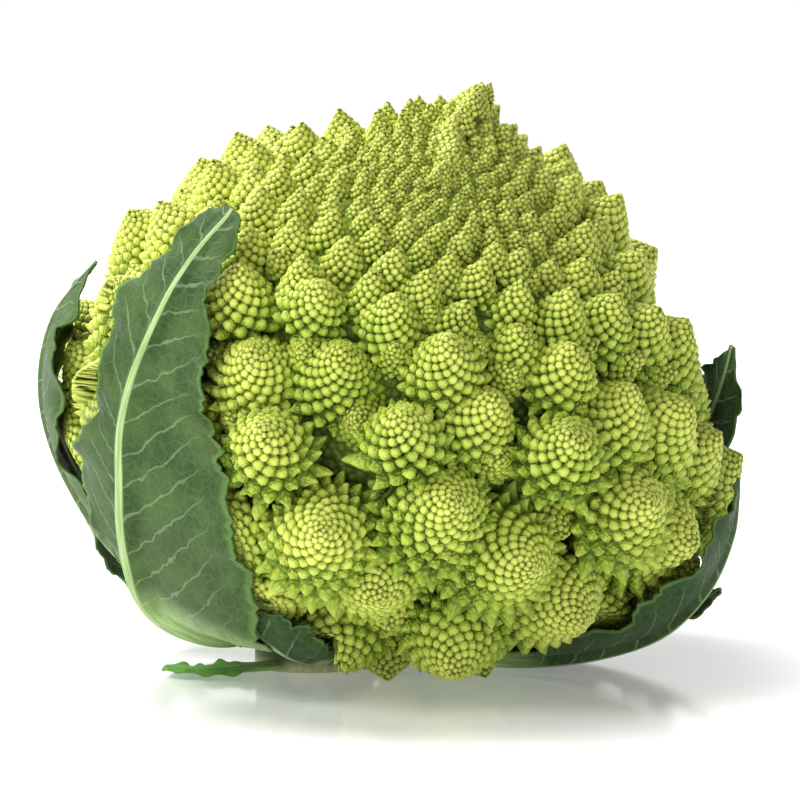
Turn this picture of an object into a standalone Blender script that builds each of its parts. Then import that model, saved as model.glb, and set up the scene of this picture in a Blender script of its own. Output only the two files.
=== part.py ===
"""A romanesco head as picked, with a few of its leaves, lying on a flat surface.

The head is one grown piece: florets on a golden-angle spiral, fused to the core that carries them.
Sizes are in millimetres and angles in degrees until mesh_object makes a mesh in metres.
+Z is up, and the side that people look at faces -Y.
"""

import bmesh
import bpy
import numpy as np
from mathutils import Matrix, Vector, geometry
from mathutils.bvhtree import BVHTree

MILLIMETRE = 0.001

# The head. The tips of its florets lie on a flattened ball that rises to a point.
HEAD_CENTRE = np.array((-1.8, 0.0, 71.5))
HEAD_RADIUS = 96.5
HEAD_FLATNESS = 0.78
POINT_RISE = 16.5
POINT_SPREAD = 12.5
HOLLOW_DEPTH = 3.0
HOLLOW_ANGLE = 31.0
HOLLOW_WIDTH = 14.0
LEAN_RIGHT = 14.8
LEAN_FORWARD = 11.9

# Where the head has grown unevenly: the angle and turn of the middle of each swell, how wide it is,
# and how far it stands out, or lies back if negative
SWELL_WIDTH = 17.0
SWELLS = (
    (72, 178, -13.0),
    (58.5, 115, 7.0),
    (47, 133, -3.0),
    (15, 24, -2.2),
    (39, 29, 7.6),
    (51, 16, -9.6),
    (66, 3, -10.0),
    (84, 355, 2.8),
)

# The spiral of florets, from the foot of the head up to its point. Its own axis leans further forward.
SPIRAL_RIGHT = 10.0
SPIRAL_FORWARD = 33.0
GOLDEN_ANGLE = 137.50776
FIRST_TURN = 186.0
FOOT_ANGLE = 165.0
UNDERSIDE_ANGLE = 172.0
UNDERSIDE_DEPTH = 16.0
POINT_ANGLE = 0.8
SPACING_AT_SIDE = 37.5
SIDE_ANGLE = 68.0
SPACING_GROWTH = 1.3
SPACING_LEVELS_OFF = 1.0
LEAST_SPACING = 7.8

# One floret, as shares of the spacing there
FLORET_REACH = 0.62
FURROW = 0.93
FURROW_TOLERANCE = 0.9
FLORET_HEIGHT = 0.66
SHOULDER = 1.25
BUD_DEPTH = 0.055
FOOT_SHIFT = 0.35
LEAST_FURROW_GAP = 0.5
UNDERSIDE_SIDES = 14
RING_TURN = 0.5
FLORET_TURN = 2.4

# The stalk
STALK_FOOT = np.array((-25.0, 3.0, 0.0))
STALK_RADIUS = 16.0
STALK_HEIGHT = 27.0
STALK_LEAN = np.array((3.0, 2.0))

# Leaves
BLADE = 1.2
CLEARANCE = 0.6
ROOM_BEHIND_LEAF = 24.0
LEAF_MARGIN = 3.0
LEAF_GAP = 1.4

# Each row of a leaf, from its foot to its tip: the middle of the midrib (x, y, z), the half-widths of the
# blade to its left and right seen from outside, and the thickness of the midrib there.
FRONT_LEFT_LEAF = (
    (-37, -7, 14, 5.5, 5.5, 8),
    (-46, -17, 13, 7, 8, 8),
    (-55, -25, 15.5, 10, 22, 7.5),
    (-62, -31, 20, 13, 35, 7),
    (-66, -40, 27, 14, 38, 6.5),
    (-68, -48, 36, 16, 38, 6),
    (-69, -54, 46, 25, 37, 5.5),
    (-69, -58, 56, 34, 36, 5),
    (-69, -61, 66, 25, 31, 4.5),
    (-68, -62, 74, 15, 31, 4.2),
    (-66, -63, 82, 15, 23, 3.8),
    (-63, -65, 90, 25, 21, 3.4),
    (-60, -66, 97, 26, 17, 3),
    (-56, -67, 105, 17, 13, 2.6),
    (-50, -68, 114, 14, 9, 2.2),
    (-44, -69, 121, 7, 4, 1.8),
    (-42, -69, 124, 1.5, 1.5, 1.4),
)
LEFT_LEAF = (
    (-41, 5, 15, 5, 5, 7),
    (-58, 8, 19, 6, 8, 7),
    (-76, 7, 32, 8, 15, 6),
    (-88, 4, 50, 12, 20, 5),
    (-94, 1, 66, 18, 24, 4.2),
    (-95, -2, 80, 20, 24, 3.4),
    (-92, -4, 93, 15, 18, 2.6),
    (-86, -6, 102, 7, 11, 2),
    (-81, -8, 108, 1.5, 1.5, 1.4),
)
LEFT_LOW_LEAF = (
    (-39, 14, 6, 4.5, 4.5, 6),
    (-56, 22, 7, 14, 8, 5),
    (-70, 27, 14, 18, 9, 4),
    (-79, 27, 26, 18, 9, 3),
    (-85, 24, 36, 11, 7, 2.2),
    (-87, 21, 43, 1.5, 1.5, 1.4),
)
SMALL_CURLED_LEAF = (
    (-22, -17, 6, 4, 4, 5),
    (-25, -34, 8, 9, 8, 3.4),
    (-30, -50, 12, 12, 10, 2.6),
    (-36, -59, 18, 9, 9, 2),
    (-41, -62, 25, 1.5, 1.5, 1.4),
)
STUB_LEAF = (
    (-34, -12, 2.6, 4, 4, 3),
    (-45, -16, 2.0, 9, 7, 2.4),
    (-55, -17, 1.8, 8, 7, 2),
    (-63, -16, 2.4, 5, 4, 1.6),
)
RIGHT_LEAF = (
    (-6, -4, 7, 5, 5, 7),
    (14, -8, 6, 9, 9, 6.5),
    (34, -13, 5.5, 17, 14, 6),
    (52, -18, 8, 24, 18, 5),
    (67, -22, 14, 25, 19, 4.4),
    (78, -23, 25, 22, 16, 3.6),
    (84, -21, 37, 15, 11, 2.8),
    (86, -18, 46, 7, 6, 2.2),
    (87, -16, 52, 1.5, 1.5, 1.4),
)
RIGHT_LOW_LEAF = (
    (-8, 10, 4, 4, 4, 5),
    (20, 14, 3, 8, 8, 4),
    (48, 16, 4, 13, 12, 3.2),
    (68, 14, 9, 12, 11, 2.6),
    (80, 11, 15, 6, 6, 2),
    (85, 9, 19, 1.5, 1.5, 1.4),
)
BACK_RIGHT_LEAF = (
    (-12, 18, 7, 5, 5, 7),
    (14, 38, 7, 9, 12, 6.5),
    (42, 50, 15, 16, 22, 6),
    (64, 52, 28, 24, 28, 5),
    (77, 48, 44, 30, 27, 4),
    (84, 42, 60, 21, 19, 3),
    (88, 36, 73, 10, 9, 2.2),
    (90, 33, 83, 1.5, 1.5, 1.4),
)


def clear_scene():
    for obj in list(bpy.data.objects):
        bpy.data.objects.remove(obj, do_unlink=True)


def plain_material(name, colour, roughness):
    material = bpy.data.materials.new(name)
    material.use_nodes = True
    shader = material.node_tree.nodes["Principled BSDF"]
    shader.inputs["Base Color"].default_value = (*colour, 1)
    shader.inputs["Roughness"].default_value = roughness
    shader.inputs["Metallic"].default_value = 0
    return material


def mesh_object(name, points, faces, material=None):
    """A new object from points in millimetres."""
    mesh = bpy.data.meshes.new(name)
    mesh.from_pydata([tuple(point) for point in np.asarray(points) * MILLIMETRE], [], faces)
    mesh.update()
    obj = bpy.data.objects.new(name, mesh)
    bpy.context.scene.collection.objects.link(obj)
    if material:
        mesh.materials.append(material)
    return obj


def stand_on_origin(objects):
    """Moves the meshes so that the middle of the whole box is over the origin."""
    corners = np.array([vertex.co for obj in objects for vertex in obj.data.vertices])
    middle = (corners.min(axis=0) + corners.max(axis=0)) / 2
    for obj in objects:
        obj.data.transform(Matrix.Translation((-middle[0], -middle[1], 0)))


def unit(vectors):
    return vectors / np.linalg.norm(vectors, axis=-1, keepdims=True)


# The head


def leaning_axes(lean_right, lean_forward):
    """Columns x, y and z of a frame whose z leans from straight up."""
    right, forward = np.radians((lean_right, lean_forward))
    lean = np.array(
        ((np.cos(right), 0, np.sin(right)), (0, 1, 0), (-np.sin(right), 0, np.cos(right)))
    )
    nod = np.array(
        ((1, 0, 0), (0, np.cos(forward), -np.sin(forward)), (0, np.sin(forward), np.cos(forward)))
    )
    return lean @ nod


HEAD_AXES = leaning_axes(LEAN_RIGHT, LEAN_FORWARD)
SPIRAL_AXES = leaning_axes(SPIRAL_RIGHT, SPIRAL_FORWARD)


def head_reach(own):
    """How far the tips of the florets are from the middle of the head, in directions of its own frame."""
    along = np.clip(own[..., 2], -1, 1)
    flat = HEAD_RADIUS * HEAD_FLATNESS
    reach = 1 / np.sqrt((1 - along**2) / HEAD_RADIUS**2 + (along / flat) ** 2)
    angle = np.degrees(np.arccos(along))
    reach = reach + POINT_RISE * np.exp(-angle / POINT_SPREAD)
    reach = reach - HOLLOW_DEPTH * np.exp(-(((angle - HOLLOW_ANGLE) / HOLLOW_WIDTH) ** 2))
    for swell_angle, swell_turn, height in SWELLS:
        middle = directions(np.radians(swell_angle), np.radians(swell_turn))
        apart = np.degrees(np.arccos(np.clip(own @ middle, -1, 1)))
        reach = reach + height * np.exp(-((apart / SWELL_WIDTH) ** 2))
    return reach


def on_head(angle, turn, depth=0.0):
    """The point at an angle from the spiral's axis and a turn about it, depth below the tips."""
    way = directions(angle, turn) @ SPIRAL_AXES.T
    reach = head_reach(way @ HEAD_AXES) * (1 - depth / HEAD_RADIUS)
    return HEAD_CENTRE + way * np.asarray(reach)[..., None]


def spacing(angle):
    """How far apart the florets stand, which grows from the point of the head to its side."""
    share = angle / np.radians(SIDE_ANGLE)
    levelled = (share / SPACING_LEVELS_OFF) ** (4 * SPACING_GROWTH)
    return SPACING_AT_SIDE * share**SPACING_GROWTH / (1 + levelled) ** 0.25


def floret_places():
    """The angle from the axis and the turn of every floret, and the spacing there."""
    angle = np.radians(np.linspace(POINT_ANGLE, FOOT_ANGLE, 800))
    stand = np.maximum(spacing(angle), LEAST_SPACING)
    per_angle = 2 * np.pi * HEAD_RADIUS**2 * np.sin(angle) / (np.sqrt(0.75) * stand**2)
    step = np.diff(angle)
    passed = np.concatenate(((0,), np.cumsum((per_angle[1:] + per_angle[:-1]) / 2 * step)))
    from_foot = passed[-1] - passed
    number = np.arange(int(from_foot[0]))
    at = np.interp(number, from_foot[::-1], angle[::-1])
    turn = np.radians(FIRST_TURN + number * GOLDEN_ANGLE)
    return at, turn, np.interp(at, angle, stand)


def directions(angle, turn):
    """Unit vectors at an angle from z and a turn about it."""
    across = np.sin(angle)
    along = np.cos(angle) + 0 * turn
    return np.stack((across * np.cos(turn), across * np.sin(turn), along), axis=-1)


def around(middle, reach, turn):
    """Unit vectors at an angle of reach from middle, in the direction that turn gives round it."""
    up = np.array((0.0, 0.0, 1.0)) - middle * middle[2]
    up = unit(up) if np.linalg.norm(up) > 1e-6 else np.array((1.0, 0.0, 0.0))
    side = np.cross(up, middle)
    way = np.cos(turn)[:, None] * up + np.sin(turn)[:, None] * side
    return np.cos(reach) * middle + np.sin(reach) * way


def bud_rings(stand):
    """How far out from a floret's tip each ring of its buds lies, as a share, and how many buds it has."""
    if stand > 20:
        return ((0.26, 6), (0.5, 10), (0.74, 13), (FURROW, 11))
    if stand > 13:
        return ((0.36, 6), (0.66, 9), (FURROW, 10))
    if stand > 8:
        return ((0.5, 6), (FURROW, 9))
    return ((FURROW, 9),)


def floret_points():
    """Directions and depths of the points that raise every floret from the head. Those that would
    lie on a neighbour are left out, so that the florets meet in furrows."""
    angle, turn, stand = floret_places()
    tips = directions(angle, turn)
    reach = FLORET_REACH * stand / HEAD_RADIUS
    foot = np.minimum(angle + FOOT_SHIFT * reach * np.sin(angle), np.pi)
    middles = directions(foot, turn)
    kept = [tips]
    depths = [0.0 * stand]
    furrows = np.zeros((0, 3))
    for number in range(len(tips)):
        for ring, (share, count) in enumerate(bud_rings(stand[number])):
            first_turn = number * FLORET_TURN + ring * RING_TURN
            round_it = 2 * np.pi * np.arange(count) / count + first_turn
            middle = unit(tips[number] * (1 - share) + middles[number] * share)
            points = around(middle, share * reach[number], round_it)
            apart = np.arccos(np.clip(points @ middles.T, -1, 1)) / reach
            apart[:, number] = 9
            furrow = share == FURROW
            own = apart.min(axis=1) > share * (FURROW_TOLERANCE if furrow else 1)
            if furrow and len(furrows):
                near = np.arccos(np.clip(points @ furrows.T, -1, 1)).min(axis=1)
                own &= near > LEAST_FURROW_GAP * reach[number]
            points = points[own]
            peak = (np.arange(count)[own] % 2) * 2 - 1
            bump = 0 if furrow else BUD_DEPTH * stand[number] * peak * (0.5 + 0.5 * share)
            kept.append(points)
            depths.append(FLORET_HEIGHT * stand[number] * share**SHOULDER - bump)
            if furrow:
                furrows = np.vstack((furrows, points))
    depths = [np.broadcast_to(depth, len(points)) for depth, points in zip(depths, kept)]
    return np.vstack(kept), np.concatenate(depths)


def curd_surface(leaves):
    """The florets as one closed surface: points joined across the whole head, and an underside."""
    points, depths = floret_points()
    low = np.radians(UNDERSIDE_ANGLE)
    rim_turns = 2 * np.pi * np.arange(UNDERSIDE_SIDES) / UNDERSIDE_SIDES
    rim = directions(np.full(UNDERSIDE_SIDES, low), rim_turns)
    above = points[:, 2] > np.cos(low - 0.1)
    points = np.vstack((points[above], rim))
    depths = np.concatenate((depths[above], np.full(UNDERSIDE_SIDES, UNDERSIDE_DEPTH)))
    spread = points[:, :2] / (1 + points[:, 2:])
    flat = [Vector(place) for place in spread]
    result = geometry.delaunay_2d_cdt(flat, [], [], 0, 1e-7)
    order = [origin[0] for origin in result[3]]
    faces = [tuple(order[corner] for corner in face) for face in result[2]]
    first = len(points) - UNDERSIDE_SIDES
    faces.append(tuple(reversed(range(first, len(points)))))
    angle = np.arccos(np.clip(points[:, 2], -1, 1))
    turn = np.arctan2(points[:, 1], points[:, 0])
    places = on_head(angle, turn, depths)
    return held_down(places, leaves), faces


def held_down(places, leaves):
    """The points, no further from the middle of the head than just under the leaves that cover them."""
    start = Vector(HEAD_CENTRE * MILLIMETRE)
    for number, place in enumerate(places):
        outward = unit(place - HEAD_CENTRE)
        reach = np.linalg.norm(place - HEAD_CENTRE)
        side = unit(np.cross(outward, (0.3, 0.2, 0.9)))
        other = np.cross(outward, side)
        for way in (0 * side, side, -side, other, -other):
            look = Vector(unit(outward + way * LEAF_MARGIN / reach))
            for leaf in leaves:
                hit = leaf.ray_cast(start, look)
                if hit[0] is not None:
                    reach = min(reach, hit[3] / MILLIMETRE - LEAF_GAP)
        places[number] = HEAD_CENTRE + outward * reach
    return places


def boolean(obj, operation, other, solver="EXACT"):
    modifier = obj.modifiers.new(operation.lower(), "BOOLEAN")
    modifier.operation = operation
    modifier.solver = solver
    modifier.object = other
    apply_modifiers(obj)


def apply_modifiers(obj):
    bpy.context.view_layer.update()
    evaluated = obj.evaluated_get(bpy.context.evaluated_depsgraph_get())
    mesh = bpy.data.meshes.new_from_object(evaluated)
    obj.modifiers.clear()
    obj.data = mesh


def remove_object(obj):
    bpy.data.objects.remove(obj, do_unlink=True)


def keep_largest_body(obj):
    """Drops the loose scraps that a cut leaves."""
    shape = bmesh.new()
    shape.from_mesh(obj.data)
    left = set(shape.verts)
    bodies = []
    while left:
        body = {left.pop()}
        edge = list(body)
        while edge:
            near = {e.other_vert(v) for v in edge for e in v.link_edges} - body
            body |= near
            edge = list(near)
        left -= body
        bodies.append(body)
    bodies.sort(key=len)
    scraps = [v for body in bodies[:-1] for v in body]
    bmesh.ops.delete(shape, geom=scraps, context="VERTS")
    shape.to_mesh(obj.data)
    shape.free()


def make_curd(material, leaves, cutters):
    points, faces = curd_surface(leaves)
    curd = mesh_object("curd", points, faces, material)
    for cutter in cutters:
        boolean(curd, "DIFFERENCE", other=cutter, solver="MANIFOLD")
    keep_largest_body(curd)
    return curd


# The stalk


def stalk_points_and_faces(grow=0.0, columns=20, rows=5):
    points = []
    for row in range(rows + 1):
        share = row / rows
        middle = STALK_FOOT + np.array((*(STALK_LEAN * share), STALK_HEIGHT * share))
        for column in range(columns):
            turn = 2 * np.pi * column / columns
            ribs = 0.7 * np.cos(5 * turn + 4 * share) * np.sin(np.pi * share)
            radius = STALK_RADIUS + 1.5 * share + ribs + grow
            points.append(middle + radius * np.array((np.cos(turn), np.sin(turn), 0)))
    faces = [tuple(reversed(range(columns)))]
    for row in range(rows):
        for column in range(columns):
            after = (column + 1) % columns
            a, b = row * columns + column, row * columns + after
            faces += [(a, b, b + columns), (a, b + columns, a + columns)]
    faces.append(tuple(rows * columns + column for column in range(columns)))
    points = np.array(points)
    points[:columns, 2] -= grow
    points[-columns:, 2] += grow
    return points, faces


# Leaves


def smooth_rows(rows, count):
    """The rows of a leaf, read at evenly spaced places on a smooth curve through them."""
    rows = np.array(rows, float)
    ends = np.vstack((2 * rows[0] - rows[1], rows, 2 * rows[-1] - rows[-2]))
    read = []
    for place in np.linspace(0, len(rows) - 1, count):
        first = min(int(place), len(rows) - 2)
        t = place - first
        a, b, c, d = ends[first : first + 4]
        read.append(
            b + 0.5 * t * (c - a + t * (2 * a - 5 * b + 4 * c - d + t * (3 * (b - c) + d - a)))
        )
    return np.array(read)


def leaf_frame(rows, facing):
    """Along, outward and rightward directions for each row of a leaf."""
    middle = rows[:, :3]
    along = unit(np.gradient(middle, axis=0))
    outward = middle - np.array(facing)
    outward = unit(outward - along * (outward * along).sum(axis=1, keepdims=True))
    return along, outward, np.cross(along, outward)


def leaf_points_and_faces(rows, facing, bend, wave, waves, count, inner=0.0, outer=0.0):
    """A blade with its midrib, as one closed shape. inner and outer thicken it on either face."""
    rows = smooth_rows(rows, count)
    along, outward, right = leaf_frame(rows, facing)
    shares = np.array((-1, -0.72, -0.42, -0.16, 0, 0.16, 0.42, 0.72, 1))
    edge_growth = max(inner, 0) * 0.9
    outer_face, inner_face = [], []
    for number, row in enumerate(rows):
        place = number / (len(rows) - 1)
        for share in shares:
            width = max(row[3] if share < 0 else row[4], 1.0) + edge_growth
            across = width * share
            lift = -(across**2) / (2 * bend) if bend else 0
            phase = 2 * np.pi * waves * place + (0 if share < 0 else 2.1)
            lift += wave * abs(share) ** 3 * np.sin(phase) * min(1, width / 12)
            rib = max(row[5] - BLADE, 0) * max(0, 1 - (across / (0.62 * row[5] + 1.2)) ** 2)
            base = row[:3] + right[number] * across + outward[number] * lift
            outer_face.append(base + outward[number] * (BLADE / 2 + 0.75 * rib + outer))
            inner_face.append(base - outward[number] * (BLADE / 2 + 0.25 * rib + inner))
    if inner:
        for side in (outer_face, inner_face):
            for column in range(len(shares)):
                side[column] = side[column] - along[0] * 2 * inner
                side[-1 - column] = side[-1 - column] + along[-1] * 2 * inner
    wide = len(shares)
    points = np.array(outer_face + inner_face)
    shift = len(outer_face)
    faces = []
    for number in range(count - 1):
        for column in range(wide - 1):
            a = number * wide + column
            b, c, d = a + 1, a + wide + 1, a + wide
            faces += [(a, b, c), (a, c, d)]
            faces += [(shift + a, shift + c, shift + b), (shift + a, shift + d, shift + c)]
    for number in range(count - 1):
        a, b = number * wide, (number + 1) * wide
        faces += [(a, b, shift + b), (a, shift + b, shift + a)]
        a, b = a + wide - 1, b + wide - 1
        faces += [(a, shift + b, b), (a, shift + a, shift + b)]
    for column in range(wide - 1):
        a = column
        faces += [(a, shift + a + 1, a + 1), (a, shift + a, shift + a + 1)]
        a = (count - 1) * wide + column
        faces += [(a, a + 1, shift + a + 1), (a, shift + a + 1, shift + a)]
    return points, faces


LEAVES = {
    "leaf_front_left": dict(rows=FRONT_LEFT_LEAF, bend=95, wave=1.6, waves=7, count=34),
    "leaf_left": dict(rows=LEFT_LEAF, bend=60, wave=1.6, waves=4, count=18),
    "leaf_left_low": dict(rows=LEFT_LOW_LEAF, bend=45, wave=1.4, waves=3, count=12),
    "leaf_small_curled": dict(rows=SMALL_CURLED_LEAF, bend=14, wave=0.8, waves=4, count=12),
    "leaf_stub": dict(rows=STUB_LEAF, bend=0, wave=0.6, waves=2, count=8, facing=(-45, -16, 60)),
    "leaf_right": dict(rows=RIGHT_LEAF, bend=34, wave=1.6, waves=5, count=20),
    "leaf_right_low": dict(rows=RIGHT_LOW_LEAF, bend=30, wave=1.0, waves=4, count=12),
    "leaf_back_right": dict(rows=BACK_RIGHT_LEAF, bend=70, wave=2.0, waves=5, count=18),
}


def main():
    clear_scene()
    curd_green = plain_material("curd_green", (0.47, 0.6, 0.06), 0.55)
    stalk_green = plain_material("stalk_green", (0.3, 0.4, 0.12), 0.5)
    leaf_green = plain_material("leaf_green", (0.11, 0.24, 0.1), 0.5)
    points, faces = stalk_points_and_faces()
    stalk = mesh_object("stalk", points, faces, stalk_green)
    points, faces = stalk_points_and_faces(grow=CLEARANCE)
    round_stalk = mesh_object("round_stalk", points, faces)
    cutters = [round_stalk]
    trees = []
    for name, shape in LEAVES.items():
        shape = {"facing": HEAD_CENTRE, **shape}
        points, faces = leaf_points_and_faces(**shape)
        leaf = mesh_object(name, points, faces, leaf_green)
        boolean(leaf, "DIFFERENCE", other=round_stalk)
        keep_largest_body(leaf)
        trees.append(BVHTree.FromObject(leaf, bpy.context.evaluated_depsgraph_get()))
        for outer in (ROOM_BEHIND_LEAF, CLEARANCE):
            points, faces = leaf_points_and_faces(**shape, inner=CLEARANCE, outer=outer)
            cutters.append(mesh_object("round_" + name, points, faces))
    floor = mesh_object(
        "floor",
        [(x, y, z) for z in (-90, 0) for y in (-150, 150) for x in (-150, 150)],
        [(0, 2, 3, 1), (4, 5, 7, 6), (0, 1, 5, 4), (1, 3, 7, 5), (3, 2, 6, 7), (2, 0, 4, 6)],
    )
    cutters.append(floor)
    make_curd(curd_green, trees, cutters)
    for cutter in cutters:
        remove_object(cutter)
    stand_on_origin(bpy.context.scene.collection.objects)


main()
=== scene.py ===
"""Dresses the romanesco head: buds on every floret, veined leaves, the cut stalk, and a plain white studio.

Sizes are in millimetres and angles in degrees until a mesh is made in metres. The head's spiral uses the same
rule and the same named values as the solids, so every floret stands where its solid one does.
"""

import bpy
import numpy as np
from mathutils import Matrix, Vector
from mathutils.bvhtree import BVHTree


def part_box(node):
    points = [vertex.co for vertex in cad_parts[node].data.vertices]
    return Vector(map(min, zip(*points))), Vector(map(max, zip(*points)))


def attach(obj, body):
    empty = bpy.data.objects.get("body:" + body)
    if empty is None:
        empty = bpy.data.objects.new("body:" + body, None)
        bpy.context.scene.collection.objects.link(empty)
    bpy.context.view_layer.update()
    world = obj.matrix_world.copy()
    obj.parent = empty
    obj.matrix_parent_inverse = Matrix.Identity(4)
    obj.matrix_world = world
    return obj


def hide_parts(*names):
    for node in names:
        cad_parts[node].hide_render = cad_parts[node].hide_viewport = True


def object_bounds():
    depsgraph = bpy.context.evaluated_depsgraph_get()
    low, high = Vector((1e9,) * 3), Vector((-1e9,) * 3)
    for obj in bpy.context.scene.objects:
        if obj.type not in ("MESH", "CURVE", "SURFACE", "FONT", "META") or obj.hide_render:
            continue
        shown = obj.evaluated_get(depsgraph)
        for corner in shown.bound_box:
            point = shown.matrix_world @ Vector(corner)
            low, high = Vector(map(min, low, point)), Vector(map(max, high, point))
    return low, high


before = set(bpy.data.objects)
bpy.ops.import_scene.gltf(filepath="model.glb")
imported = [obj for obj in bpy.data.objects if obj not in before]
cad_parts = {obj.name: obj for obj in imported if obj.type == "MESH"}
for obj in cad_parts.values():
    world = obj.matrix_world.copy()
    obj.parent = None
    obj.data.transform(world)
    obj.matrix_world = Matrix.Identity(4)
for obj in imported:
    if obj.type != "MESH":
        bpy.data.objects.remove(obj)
solid_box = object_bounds()

MILLIMETRE = 0.001

# The head, as in the solids
HEAD_CENTRE = np.array((-1.8, 0.0, 71.5))
HEAD_RADIUS = 96.5
HEAD_FLATNESS = 0.78
POINT_RISE = 16.5
POINT_SPREAD = 12.5
HOLLOW_DEPTH = 3.0
HOLLOW_ANGLE = 31.0
HOLLOW_WIDTH = 14.0
LEAN_RIGHT = 14.8
LEAN_FORWARD = 11.9

# Where the head has grown unevenly: angle and turn of the middle of each swell, and how far it stands out
SWELL_WIDTH = 17.0
SWELLS = (
    (72, 178, -13.0),
    (58.5, 115, 7.0),
    (47, 133, -3.0),
    (15, 24, -2.2),
    (39, 29, 7.6),
    (51, 16, -9.6),
    (66, 3, -10.0),
    (84, 355, 2.8),
)

# The spiral of florets, from the foot of the head up to its point. Its own axis leans further forward.
SPIRAL_RIGHT = 10.0
SPIRAL_FORWARD = 33.0
GOLDEN_ANGLE = 137.50776
FIRST_TURN = 186.0
FOOT_ANGLE = 165.0
POINT_ANGLE = 0.8
SPACING_AT_SIDE = 37.5
SIDE_ANGLE = 68.0
SPACING_GROWTH = 1.3
LEAST_SPACING = 5.0

# One floret: a ball drawn up to a point. Pairs are for a small and a large floret, as shares of its spacing
# or of its radius; depths, shifts and sizes are drawn at random.
FLORET_LEAN = 24.0
FLORET_TILT = 9.0
TIP_DEPTH = 0.9
TIP_MARGIN = 1.3
SMALL_FLORET = 9.0
LARGE_FLORET = 26.0
FLORET_RADIUS = (0.42, 0.37)
FLORET_CROWN = (0.7, 0.95)
FLORET_POINT = (1.55, 0.85)
POINT_FADES = 1.5
FLORET_SIZES = (0.87, 1.12)
FLORET_DEPTHS = (-0.11, 0.16)
FLORET_SHIFT = 0.075
LAST_ANGLE = 108.0
NEIGHBOUR_REACH = 1.6
NEIGHBOUR_WIDTH = 0.97
NEIGHBOUR_SKIN = 0.05
NEIGHBOUR_FOOT = 0.3

# The flesh under the buds: its rings on a floret, and how deep the head's own lies under the tips
FLESH_ANGLES = (18, 40, 65, 90, LAST_ANGLE)
FLESH_COLUMNS = 8
FLESH_TIP = -0.3
FLESH_SPACINGS_DEEP = 0.74
FLESH_DEEPER = 1.5

# Small florets in the hollows between three large ones
HOLLOW_SPACING = 12.0
HOLLOW_REACH = 1.25
HOLLOW_ROOM = 0.5
HOLLOWS_APART = 9.0
HOLLOW_FLORET = 0.56
HOLLOW_SUNK = 0.24

# Small florets on what is still bare, tried at places spread evenly over the head
GAP_TRIALS = 4000
GAP_ANGLE = 130.0
GAP_SPACING = 10.0
GAP_REACH = 1.6
GAP_CLEAR = 1.22
GAPS_APART = 0.5
GAP_FLORET = 0.6
GAP_SUNK = 0.36
GAP_BESIDE = (0.0, 0.6, 0.8)

# The florets that merge into a winding ridge, from the middle of the spiral to the head's point
CREST_FLORETS = 13
CREST_ENDS = (-0.15, 0.98)
CREST_STANDS = (4.6, 8.4)
CREST_RAISED = 0.9
CREST_LEAN = 0.5
CREST_WINDS = 1.4
CREST_BENDS = 1.2

# Buds, from grains at a floret's tip to spikes at its rim. Leans and widths run from the tip to the rim.
# LAST_BUD and BUD_GROWS are for a small and a large floret, and BUD_SIZES is drawn at random.
LEAST_BUD = 1.2
FIRST_BUD = 0.2
LAST_BUD = (0.2, 0.17)
LARGEST_BUD = 5.4
BUD_SIZES = (0.9, 1.1)
BUD_LEAN = (4.0, 14.0)
BUD_TILT = 0.09
BUD_WIDTH = (0.65, 0.56)
BUD_LENGTH = 0.44
BUD_GROWS = (0.5, 1.12)
BUD_GROWTH = 1.4
BUD_CURL = 0.2
BEAD_RISE = 0.35
FIRST_PLACE = 0.35
NEAR_TIP = 0.35
ROLL = 2.4
PIECE_TRIANGLES = 180000

# The stalk
STALK_FOOT = np.array((-25.0, 3.0, 0.0))
STALK_RADIUS = 16.0
STALK_HEIGHT = 27.0
STALK_LEAN = np.array((3.0, 2.0))
CUT_RINGS = (0.05, 0.1, 0.2, 0.25, 0.25)
CUT_HOLLOW = 0.5
FOOT_ROUNDING = 0.7

# Leaves: the blade's thickness in the solids and here, its veins, its stem and teeth, and how far the midrib,
# the side veins and the blade between them are raised outwards on its outer and inner side
SOLID_BLADE = 1.2
BLADE = 0.8
VEIN_PITCH = 9.0
VEIN_WIDTH = 0.9
VEIN_SLANT = 0.75
VEIN_BEND = 0.006
STEM_END = 0.2
STEM_FADE = 0.08
TOOTH_HEIGHT = 0.96
NARROWING = 1.25
OUTER_RELIEF = (0.75, 0.5, 0.35)
INNER_RELIEF = (-0.25, -0.25, 0.3)
STUB_FACES = (-45, -16, 60)

# How far a leaf's blade has a young one's bright green, and its outer side the inner side's dark green
YOUTH = {"blade_stub": 0.9}
DARK = {"blade_right": 0.75, "blade_small_curled": 0.6, "blade_right_low": 0.7}

# Room for the curd beside the leaves and in the solids' box
LEAF_GAP = 1.0
SOFT_PRESS = 2.6
BOX_MARGIN = 0.05
FAR = 999.0
ROOM_STEP = 1.5
ROOM_MARGIN = 2

# The studio: how bright the walls show and how much they light, the floor's own light under the head and away
# from it with the distances in metres between which it grows, and each lamp's place, size and watts
WALL_SHOWS = 1.0
WALL_LIGHTS = 0.32
FLOOR_ROUGHNESS = 0.13
FLOOR_GLOWS = (0.2, 0.75)
FLOOR_FADES = (0.085, 0.14)
LIT_POINT = (0, 0, 0.08)
SOFTBOXES = {
    "key_softbox": ((-0.9, -0.55, 1.05), (0.5, 0.5), 12.0),
    "back_softbox": ((-0.65, 0.4, 1.1), (0.5, 0.5), 17.0),
    "front_softbox": ((-0.4, -1.3, 0.3), (0.6, 0.6), 3.0),
}

# The camera, from the photograph's outline of the head
CAMERA_ELEVATION = 5.1
CAMERA_DISTANCE = 900.0
CAMERA_LENS = 152.7
CAMERA_SENSOR = 36.0
AIM_RIGHT = 0.45
AIM_UP = -0.29

rng = np.random.default_rng(20)


def unit(vectors):
    return vectors / np.maximum(np.linalg.norm(vectors, axis=-1, keepdims=True), 1e-12)


def between(pair, share):
    return pair[0] + (pair[1] - pair[0]) * share


# Making meshes


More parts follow.
